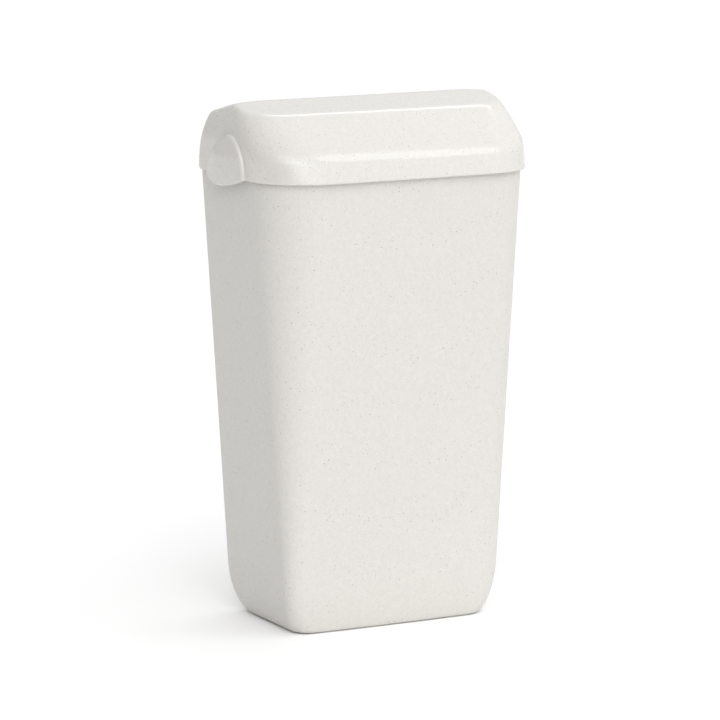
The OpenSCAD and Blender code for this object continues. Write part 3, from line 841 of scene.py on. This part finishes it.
class HoodForm:
    """The hood's outer face as a field: zero on it, below zero inside; heights are above the skirt"""

    def __init__(self, shape):
        self.shape = shape
        s = shape
        self.skirt = HOOD_REACH - s.bow
        self.low = (self.skirt - s.low_bend_back, s.low_bend_up)
        self.high = (self.skirt - s.high_bend_back, HOOD_RISE - s.high_bend_down)
        self.rear = (s.rear_gap + s.rear_sweep, HOOD_RISE - s.rear_down)
        self.anchor_x = HOOD_HALF - s.lean - s.high_corner
        self.anchor_reach = self.high[0] - s.high_corner

    def half_width(self, h):
        """Distance from the middle to the side"""
        s = self.shape
        run = np.maximum(h - s.lean_start, 0)
        return HOOD_HALF - arc_fall(run, self.rear[1] - s.lean_start, s.lean)

    def front(self, h):
        """Reach of the front at its corners, with its two slopes blended at the lower bend"""
        low, high = self.low, self.high
        lower = self.skirt - h * (self.skirt - low[0]) / low[1]
        upper = low[0] - (h - low[1]) * (low[0] - high[0]) / (high[1] - low[1])
        return smooth_min(lower, upper, self.shape.low_soft)

    def corner(self, h):
        """Radius of the front corners"""
        s = self.shape
        heights = [0, self.low[1], self.high[1], HOOD_RISE]
        radii = [s.skirt_corner, s.low_corner, s.high_corner, s.high_corner - RIDGE_CORNER_LESS]
        return np.interp(h, heights, radii)

    def top(self, x, reach):
        """Height of the top, and its slope towards the front"""
        s = self.shape
        rise = HOOD_RISE + s.ridge_soft / 4
        ahead = (rise - self.high[1]) / (self.high[0] - s.ridge_reach)
        behind = (rise - self.rear[1]) / (s.ridge_reach - self.rear[0])
        front = self.high[1] + (self.high[0] - reach) * ahead
        rear = self.rear[1] + (reach - self.rear[0]) * behind
        start = HOOD_HALF - s.lean - CROWN_EDGE - s.crown_run
        crown = s.crown_drop * (np.maximum(np.abs(x) - start, 0) / s.crown_run) ** 2
        return smooth_min(front, rear, s.ridge_soft) - crown

    def field(self, points):
        """Distance of points from the face, near enough for small distances"""
        s = self.shape
        x, reach, h = points[..., 0], points[..., 1], points[..., 2]
        forward = reach + s.bow * (x / HOOD_HALF) ** 2 - s.bow
        radius = self.corner(h)
        side = np.maximum(np.abs(x) - self.half_width(h) + radius, 0)
        ahead = np.maximum(forward - self.front(h) + radius, 0)
        out = np.hypot(side, ahead) + 1e-9
        step = 0.5 * MM
        front_slope = (self.front(h + step) - self.front(h - step)) / (2 * step)
        side_slope = (self.half_width(h + step) - self.half_width(h - step)) / (2 * step)
        steep = np.sqrt(1 + (front_slope * ahead / out) ** 2 + (side_slope * side / out) ** 2)
        walls = (out - radius) / steep
        roof = (h - self.top(x, forward)) / ROOF_STEEPNESS
        soft = s.high_soft + (s.side_soft - s.high_soft) * (side / out) ** 2
        return smooth_max(walls, roof, soft)

    def cast(self, origin, direction):
        """Where rays from inside meet the face"""
        near = np.zeros(origin.shape[:-1])
        far = np.full(origin.shape[:-1], RAY_LENGTH)
        for _ in range(RAY_HALVINGS):
            middle = (near + far) / 2
            at = origin + direction * middle[..., None]
            inside = self.field(at) < 0
            near = np.where(inside, middle, near)
            far = np.where(inside, far, middle)
        return origin + direction * near[..., None]

    def normal(self, at):
        """The face's outward direction at points on it"""
        step = 0.05 * MM
        slopes = []
        for axis in range(3):
            shift = np.zeros(3)
            shift[axis] = step
            slopes.append(self.field(at + shift) - self.field(at - shift))
        return unit(np.stack(slopes, axis=-1))

    def rear_edge(self, h):
        """Reach of the rear edge, with the chamfer of its lower corner"""
        s = self.shape
        level = np.clip(h, 0, self.rear[1])
        sweep = s.rear_gap + arc_fall(level, self.rear[1], s.rear_sweep)
        return sweep + np.maximum(s.rear_chamfer - level, 0) + s.lip


def hood_columns(form):
    """Foot of each ray fan round the hood: side offset, share of the way back, and direction in plan"""
    ax = form.anchor_x
    fans = []
    for k in np.linspace(1, 0, SIDE_FANS)[:-1]:
        fans.append((-ax, k, -1.0, 0.0))
    for a in np.linspace(0, math.pi / 2, CORNER_FANS)[:-1]:
        fans.append((-ax, 0.0, -math.cos(a), math.sin(a)))
    for x in np.linspace(-ax, ax, FRONT_FANS):
        fans.append((x, 0.0, 0.0, 1.0))
    for a in np.linspace(math.pi / 2, 0, CORNER_FANS)[1:]:
        fans.append((ax, 0.0, math.cos(a), math.sin(a)))
    for k in np.linspace(0, 1, SIDE_FANS)[1:]:
        fans.append((ax, k, 1.0, 0.0))
    return np.array(fans)


def hood_tilts():
    """Elevations of the rays, closest together at the upper bend"""
    return np.radians(np.concatenate([
        np.linspace(0, 10, 11)[:-1], np.linspace(10, 38, 36)[:-1], np.linspace(38, 61, 20)[:-1],
        np.linspace(61, 71, 32)[:-1], np.linspace(71, 90, 14)]))


def hood_sheet(form):
    """Points of the hood's outer face: the walls as rows from the skirt up, then the top"""
    fans = hood_columns(form)
    tilts = hood_tilts()
    rows, cols = len(tilts), len(fans)
    share_back = np.broadcast_to(fans[:, 1], (rows, cols))
    level = np.zeros((rows, cols))
    direction = np.stack([
        np.cos(tilts)[:, None] * fans[:, 2], np.cos(tilts)[:, None] * fans[:, 3],
        np.broadcast_to(np.sin(tilts)[:, None], (rows, cols))], axis=-1)
    for _ in range(REAR_EDGE_PASSES):
        reach = form.anchor_reach + (form.rear_edge(level) - form.anchor_reach) * share_back
        origin = np.stack([
            np.broadcast_to(fans[:, 0], (rows, cols)), reach,
            np.full((rows, cols), form.shape.lip)], axis=-1)
        walls = form.cast(origin, direction)
        level = walls[..., 2]
    return walls


def hood_top(form, walls):
    """Points of the top between the ray fans, from the rear edge forward"""
    start = SIDE_FANS + CORNER_FANS - 2
    side = walls[-1, :SIDE_FANS]
    front = walls[-1, start:start + FRONT_FANS]
    reach = np.broadcast_to(side[:, 1][:, None], (len(side), len(front)))
    x = np.broadcast_to(front[:, 0][None, :], reach.shape)
    origin = np.stack([x, reach, np.zeros_like(reach)], axis=-1)
    return form.cast(origin, np.broadcast_to([0.0, 0.0, 1.0], origin.shape))


def edge_loop(walls, top):
    """Boundary of the open sheet: down the rear left edge, along the skirt, up and across the rear"""
    loop = [walls[::-1, 0], walls[0, 1:], walls[1:, -1], top[0, -2:0:-1]]
    return np.concatenate(loop)


def lip_rows(outer, inner, out, depth):
    """Rows that close the gap between an outer and an inner edge with a rounded lip"""
    rows = []
    for a in np.linspace(0, math.pi, LIP_STEPS + 2)[1:-1]:
        across = np.sign(math.cos(a)) * abs(math.cos(a)) ** (2 / LIP_SQUARENESS)
        along = math.sin(a) ** (2 / LIP_SQUARENESS)
        rows.append((outer + inner) / 2 + (outer - inner) / 2 * across + out * depth * along)
    return rows


def hood_shell(form):
    """The hood's shell as one closed solid"""
    s = form.shape
    walls = hood_sheet(form)
    top = hood_top(form, walls)
    loop = edge_loop(walls, top)
    skirt_count = walls.shape[1]
    first = walls.shape[0] - 1

    def inward(points, flat=False):
        """Points on the inner face, straight in from the outer ones, or level for the skirt"""
        normal = form.normal(points)
        wall = s.wall + (s.side_wall - s.wall) * normal[..., :1] ** 2
        if flat:
            normal = unit(normal * (1, 1, 0))
        return points - normal * wall

    inner_walls = inward(walls)
    inner_walls[0] = inward(walls[0], flat=True)
    inner_top = inward(top)
    inner_loop = edge_loop(inner_walls, inner_top)
    tangent = np.roll(loop, -1, axis=0) - np.roll(loop, 1, axis=0)
    out = unit(np.cross(form.normal(loop), tangent))
    out[first:first + skirt_count] = (0, 0, -1)
    for corner in (first, first + skirt_count - 1):
        out[corner] = (0, -math.sqrt(0.5), -math.sqrt(0.5))
    lips = lip_rows(loop, inner_loop, out, s.lip)
    points = []
    faces = []

    def add(array, closed=False):
        """Adds a sheet of points and the quads between them"""
        start = sum(len(p) for p in points)
        rows, cols = array.shape[:2]
        points.append(array.reshape(-1, 3))
        faces.extend(grid_faces(rows, cols, start, closed))

    add(walls)
    add(top)
    add(inner_walls)
    add(inner_top)
    add(np.stack([loop] + lips + [inner_loop]), closed=True)
    flat = np.concatenate(points)
    return new_piece("hood_shell", placed(flat[:, 0], flat[:, 1], SKIRT_Z + flat[:, 2]), faces)


def buffer_shelf(side, form):
    """A shelf inside the hood's front that holds one buffer"""
    centre = side * (BUFFER_LO.x + BUFFER_HI.x) / 2
    reach = BACK_Y - (BUFFER_LO.y + BUFFER_HI.y) / 2
    z = BUFFER_HI.z
    wall_face = form.front(z - SKIRT_Z) - form.shape.wall / 2
    low = (centre - SHELF_HALF, reach - 6 * MM, z)
    return block("shelf", low, (centre + SHELF_HALF, wall_face, z + SHELF_THICK), edge=0.4 * MM)


def hood_material(look):
    """The hood and its covers share one material"""
    found = bpy.data.materials.get("glossy_speckled_plastic")
    return found or plastic_material(
        "glossy_speckled_plastic", look, look.hood_roughness,
        peel_size=14 * MM, peel_depth=0.02 * MM, coat=0.15)


class BIN_OT_hood(bpy.types.Operator):
    """Builds the flip hood with its bends, crowned ridge, rounded lips and buffer shelves"""
    bl_idname = "bin.hood"
    bl_label = "Hood"

    def execute(self, context):
        look = context.scene.bin_finish
        form = HoodForm(context.scene.bin_hood)
        hood = hood_shell(form)
        join(hood, *[buffer_shelf(side, form) for side in (-1, 1)])
        for side in (-1, 1):
            x0, x1 = span(side, HOOD_HALF - 5 * MM, HOOD_HALF + 3 * MM)
            cut(hood, rod("bush_hole", x0, x1, PIVOT_REACH, PIVOT_Z, BUSH_BORE))
            for shift in (-PEG_OUT, PEG_OUT):
                cut(hood, rod("peg_hole", x0, x1, PIVOT_REACH + shift, PIVOT_Z - PEG_DOWN, PEG))
        finish_piece(hood, "lid", "hood_plastic", hood_material(look), "hood")
        return {"FINISHED"}


# ---- hinge covers ----
HEAD_POCKET = 18 * MM
COVER_STEPS = 48
COVER_SEAT_RINGS = (0.25, 0.6, 0.97)
COVER_DOME_RINGS = (0.97, 0.93, 0.86, 0.76, 0.64, 0.5, 0.35, 0.18)
SEAT_SINK = 0.3 * MM
SEAT_STAND_OFF = 0.2 * MM


def cover_outline(s):
    """Outline of a hinge cover round the pivot: a blunt egg above the skirt, a shallow bowl below it"""
    up = np.sin(np.linspace(0, math.pi / 2, COVER_STEPS))
    down = np.sin(np.linspace(math.pi / 2, 0, COVER_STEPS // 2, endpoint=False))
    half = np.concatenate([(1 - down ** 1.25) ** 0.64, (1 - up ** 1.8) ** 0.58]) * s.cover_half
    middle = np.concatenate([-s.cover_back - s.cover_sag * down, -s.cover_back + s.cover_tilt * up])
    height = np.concatenate([-s.cover_foot * down, s.cover_top * up])
    front = np.stack([middle + half, height], axis=-1)
    rear = np.stack([middle - half, height], axis=-1)
    return np.concatenate([front, rear[-2:0:-1]])


def hinge_cover(side, form):
    """One pillow-shaped cover whose foot follows the hood's side"""
    s = form.shape
    outline = cover_outline(s)
    middle = np.array([-s.cover_back, s.cover_mid])
    spoke = outline - middle
    size = np.linalg.norm(spoke, axis=-1, keepdims=True)

    def seat(height):
        """Where the cover's back lies: on the hood's side, or flush with it below the skirt"""
        return np.where(height > 0, form.half_width(height) - SEAT_SINK, HOOD_HALF + SEAT_STAND_OFF)

    def ring(spot, x):
        """A ring of the cover, from offsets in its plane and distances from the middle"""
        return placed(side * x, PIVOT_REACH + spot[:, 0], SKIRT_Z + spot[:, 1])

    rings = [ring(middle + spoke * k, seat((middle + spoke * k)[:, 1])) for k in COVER_SEAT_RINGS]
    foot = seat(outline[:, 1])
    for a in np.linspace(0, math.pi / 2, 14):
        inset = s.cover_edge * (1 - math.cos(a))
        rings.append(ring(middle + spoke * (1 - inset / size), foot + s.cover_rise * math.sin(a)))
    face = spoke * (1 - s.cover_edge / size)
    for k in COVER_DOME_RINGS:
        dome = foot + s.cover_rise + (COVER_HI.x - foot - s.cover_rise) * (1 - k * k)
        rings.append(ring(middle + face * k, dome))
    cover = rings_piece("hinge_cover_" + ("right" if side > 0 else "left") + "_shell", rings)
    x0, x1 = span(side, HOOD_HALF - 6 * MM, PIN_HEAD_X + OVERLAP)
    cut(cover, rod("head_pocket", x0, x1, PIVOT_REACH, PIVOT_Z, HEAD_POCKET))
    for shift in (-PEG_OUT, PEG_OUT):
        place = (PIVOT_REACH + shift, PIVOT_Z - PEG_DOWN)
        x0, x1 = span(side, HOOD_HALF - s.side_wall, HOOD_HALF + OVERLAP)
        join(cover, rod("peg", x0, x1, *place, PEG - 0.05 * MM))
        x0, x1 = span(side, COVER_LO.x, HOOD_HALF - s.side_wall)
        join(cover, rod("rivet", x0, x1, *place, PEG + 0.8 * MM, edge=0.3 * MM))
    return cover


class BIN_OT_hinge_covers(bpy.types.Operator):
    """Builds the two hinge covers"""
    bl_idname = "bin.hinge_covers"
    bl_label = "Hinge covers"

    def execute(self, context):
        look = context.scene.bin_finish
        form = HoodForm(context.scene.bin_hood)
        for side, node in ((-1, "hinge_cover_left"), (1, "hinge_cover_right")):
            finish_piece(hinge_cover(side, form), "lid", "hood_plastic", hood_material(look), node)
        return {"FINISHED"}


# ---- bag ring ----
WIRE_STEPS = 24


def ring_path(s, wire):
    """Centre line of the bag ring, from the middle of the rear run round to it again"""
    half = RING_HI.x - wire / 2
    rear = BACK_Y - RING_HI.y + wire / 2
    front = BACK_Y - RING_LO.y - wire / 2
    rows = [(x, rear) for x in np.linspace(0, half - s.rear_bend, 30)]
    for a in np.linspace(-math.pi / 2, 0, 13)[1:]:
        rows.append((half - s.rear_bend + s.rear_bend * math.cos(a),
                     rear + s.rear_bend + s.rear_bend * math.sin(a)))
    rows += [(half, q) for q in np.linspace(rear + s.rear_bend, front - s.front_bend, 12)[1:]]
    for a in np.linspace(0, math.pi / 2, 19)[1:]:
        rows.append((half - s.front_bend + s.front_bend * math.cos(a),
                     front - s.front_bend + s.front_bend * math.sin(a)))
    rows += [(x, front) for x in np.linspace(half - s.front_bend, 0, 12)[1:]]
    right = np.array(rows)
    return np.concatenate([right, right[-2:0:-1] * (-1, 1)])


class BIN_OT_bag_ring(bpy.types.Operator):
    """Builds the wire ring that holds the bag, with its butt weld"""
    bl_idname = "bin.bag_ring"
    bl_label = "Bag ring"

    def execute(self, context):
        s = context.scene.bin_wire
        look = context.scene.bin_finish
        wire = RING_HI.z - RING_LO.z
        path = ring_path(s, wire)
        ahead = unit(np.roll(path, -1, axis=0) - np.roll(path, 1, axis=0))
        across = np.stack([ahead[:, 1], -ahead[:, 0]], axis=-1)
        front = path[:, 1] > path[:, 1].mean()
        weld = np.where(front, np.exp(-(path[:, 0] / s.weld_width) ** 2), 0)
        radius = wire / 2 + s.weld_swell * weld
        turn = np.linspace(0, 2 * math.pi, WIRE_STEPS, endpoint=False)
        z = (RING_LO.z + RING_HI.z) / 2
        points = []
        for spot, sideways, r in zip(path, across, radius):
            plan = spot + np.outer(r * np.cos(turn), sideways)
            points.append(placed(plan[:, 0], plan[:, 1], z + r * np.sin(turn)))
        faces = grid_faces(len(path), WIRE_STEPS, closed=True)
        # The last ring of points joins the first
        last = WIRE_STEPS * (len(path) - 1)
        for c in range(WIRE_STEPS):
            d = (c + 1) % WIRE_STEPS
            faces.append((last + c, last + d, d, c))
        ring = new_piece("bag_ring_wire", np.concatenate(points), faces)
        material = turned_metal_material("drawn_wire", look.wire, roughness=0.34, line_size=0.6 * MM)
        finish_piece(ring, "ring", "wire", material, "bag_ring")
        return {"FINISHED"}


# ---- fittings that keep their CAD shape ----
class BIN_OT_fittings(bpy.types.Operator):
    """Gives the pins, bushes, clips, bracket, lock, buffers and feet their materials"""
    bl_idname = "bin.fittings"
    bl_label = "Fittings"

    def execute(self, context):
        look = context.scene.bin_finish
        zinc = turned_metal_material("zinc_plate", look.zinc, roughness=0.32, line_size=0.4 * MM)
        sheet = galvanised_material("galvanised_sheet", look.galvanised)
        brass = turned_metal_material("turned_brass", look.brass, roughness=0.3, line_size=0.3 * MM)
        nylon = soft_material("nylon", look.nylon, roughness=0.38, pit_size=0.6 * MM)
        rubber = soft_material("rubber", look.rubber, roughness=0.72, pit_size=0.5 * MM)
        wanted = {
            zinc: ["pivot_pin_left", "pivot_pin_right", "pin_clip_left", "pin_clip_right",
                   "lock_washer", "lock_screw"],
            sheet: ["wall_bracket"],
            brass: ["lock_nut"],
            nylon: ["pivot_bush_left", "pivot_bush_right"],
            rubber: ["hood_buffer_left", "hood_buffer_right", *FEET],
        }
        for material, names in wanted.items():
            for name in names:
                fitting = frame["nodes"][name]
                for index in range(max(len(fitting.material_slots), 1)):
                    if fitting.material_slots:
                        fitting.material_slots[index].material = material
                    else:
                        fitting.data.materials.append(material)
        return {"FINISHED"}


# ---- studio ----
# Directions as seen from the bin
KEY_SIDE = (-0.334, -0.716, 0.613)
BACKDROP_SIDE = (-0.45, 0.88, 0.15)
FRONT_BOX_SIDE = Vector((0.455, -0.378, 0.806))
REAR_BOX_SIDE = Vector((0.455, 0.482, 0.748))
FRONT_BOX_AWAY = 1.2
REAR_BOX_AWAY = 1.6
FRONT_BOX_SIZE = (0.44, 0.7)
REAR_BOX_SIZE = (1.0, 0.12)
BOX_AIM_X = 20 * MM
DARKEST_SKY = 0.08


def softbox(name, aim, side, away, size, power):
    """A rectangular soft light that faces a point from one side"""
    middle = aim + side * away
    data = bpy.data.lights.new(name, "AREA")
    data.shape = "RECTANGLE"
    data.size, data.size_y = size
    data.energy = power
    light = bpy.data.objects.new(name, data)
    light.location = middle
    light.rotation_euler = (aim - middle).to_track_quat("-Z", "Y").to_euler()
    bpy.context.scene.collection.objects.link(light)


def lobe(start, towards, side, focus):
    """A soft round glow in the sky, brightest in one direction"""
    facing = start.node("ShaderNodeVectorMath", {"operation": "DOT_PRODUCT"},
                        {0: towards, 1: side}, output="Value")
    return start.maths("POWER", start.maths("MAXIMUM", facing, 0.0), focus)


class BIN_OT_stage(bpy.types.Operator):
    """Sets the pale floor, the soft light and the camera"""
    bl_idname = "bin.stage"
    bl_label = "Stage"

    def execute(self, context):
        scene = context.scene
        studio = scene.bin_studio
        half = studio.floor_size / 2
        corners = [(-half, -half, 0), (half, -half, 0), (half, half, 0), (-half, half, 0)]
        floor = new_piece("floor", corners, [(0, 1, 2, 3)])
        material, start, coords = new_material("pale_floor")
        cloud = noise(start, coords, 0.4, detail=2.0)
        surface(material, start, {
            "Base Color": cloud.mixed(scaled(studio.floor, 0.99), opaque(studio.floor)),
            "Roughness": cloud * 0.1 + 0.6,
        })
        floor.data.materials.append(material)

        world = bpy.data.worlds.new("studio_sky")
        world.use_nodes = True
        world.node_tree.nodes.clear()
        start = Wire(world.node_tree)
        towards = start.node("ShaderNodeTexCoord", output="Generated")
        lean = start.node("ShaderNodeVectorMath", {"operation": "DOT_PRODUCT"},
                          {0: towards, 1: tuple(studio.sky_slope)}, output="Value")
        key = lobe(start, towards, KEY_SIDE, studio.key_focus)
        backdrop = lobe(start, towards, BACKDROP_SIDE, studio.backdrop_focus)
        glow = (start.maths("MAXIMUM", lean + studio.sky, DARKEST_SKY)
                + key * studio.key + backdrop * studio.backdrop)
        sky = start.node("ShaderNodeBackground", inputs={"Color": (1, 1, 1, 1), "Strength": glow})
        start.node("ShaderNodeOutputWorld", inputs={"Surface": sky})
        scene.world = world

        middle = (Vector(CAD_BOX[0]) + Vector(CAD_BOX[1])) / 2
        aim = middle - Vector((studio.aim_left, 0, 0))
        view = Vector((
            math.sin(studio.azimuth) * math.cos(studio.elevation),
            math.cos(studio.azimuth) * math.cos(studio.elevation),
            -math.sin(studio.elevation)))
        data = bpy.data.cameras.new("camera")
        data.lens = studio.lens
        data.sensor_width = 36
        data.clip_end = 100
        camera = bpy.data.objects.new("camera", data)
        camera.location = aim - view * studio.distance
        camera.rotation_euler = (math.pi / 2 - studio.elevation, 0, -studio.azimuth)
        scene.collection.objects.link(camera)
        scene.camera = camera

        low_bend = Vector((BOX_AIM_X, BACK_Y - HOOD_REACH, SKIRT_Z + 28 * MM))
        softbox("front_box", low_bend, FRONT_BOX_SIDE, FRONT_BOX_AWAY, FRONT_BOX_SIZE, studio.front_box)
        high_bend = Vector((BOX_AIM_X, BACK_Y - 130 * MM, SKIRT_Z + 68 * MM))
        softbox("rear_box", high_bend, REAR_BOX_SIDE, REAR_BOX_AWAY, REAR_BOX_SIZE, studio.rear_box)
        scene.view_settings.view_transform = "Standard"
        return {"FINISHED"}


class BIN_PT_panel(bpy.types.Panel):
    """Lists the bin's pieces and sizes"""
    bl_idname = "BIN_PT_panel"
    bl_label = "Waste Bin"
    bl_space_type = "VIEW_3D"
    bl_region_type = "UI"
    bl_category = "Waste Bin"

    def draw(self, context):
        layout = self.layout
        for operator in OPERATORS:
            layout.operator(operator.bl_idname)
        for name in GROUPS:
            box = layout.box()
            group = getattr(context.scene, name)
            for field in group.__annotations__:
                box.prop(group, field)


GROUPS = {"bin_tub": TubShape, "bin_hood": HoodShape, "bin_wire": WireShape, "bin_finish": Finish,
          "bin_studio": Studio}
OPERATORS = (BIN_OT_tub, BIN_OT_hood, BIN_OT_hinge_covers, BIN_OT_bag_ring, BIN_OT_fittings,
             BIN_OT_stage)


def register():
    """Adds the properties, operators and panel"""
    for cls in (*GROUPS.values(), *OPERATORS, BIN_PT_panel):
        bpy.utils.register_class(cls)
    for name, group in GROUPS.items():
        setattr(bpy.types.Scene, name, bpy.props.PointerProperty(type=group))


def unregister():
    """Takes them out again"""
    for name in GROUPS:
        delattr(bpy.types.Scene, name)
    for cls in (BIN_PT_panel, *reversed(OPERATORS), *reversed(list(GROUPS.values()))):
        bpy.utils.unregister_class(cls)


def main():
    """Builds everything"""
    register()
    bpy.ops.bin.tub()
    bpy.ops.bin.hood()
    bpy.ops.bin.hinge_covers()
    bpy.ops.bin.bag_ring()
    bpy.ops.bin.fittings()
    bpy.ops.bin.stage()


if __name__ == "__main__":
    main()
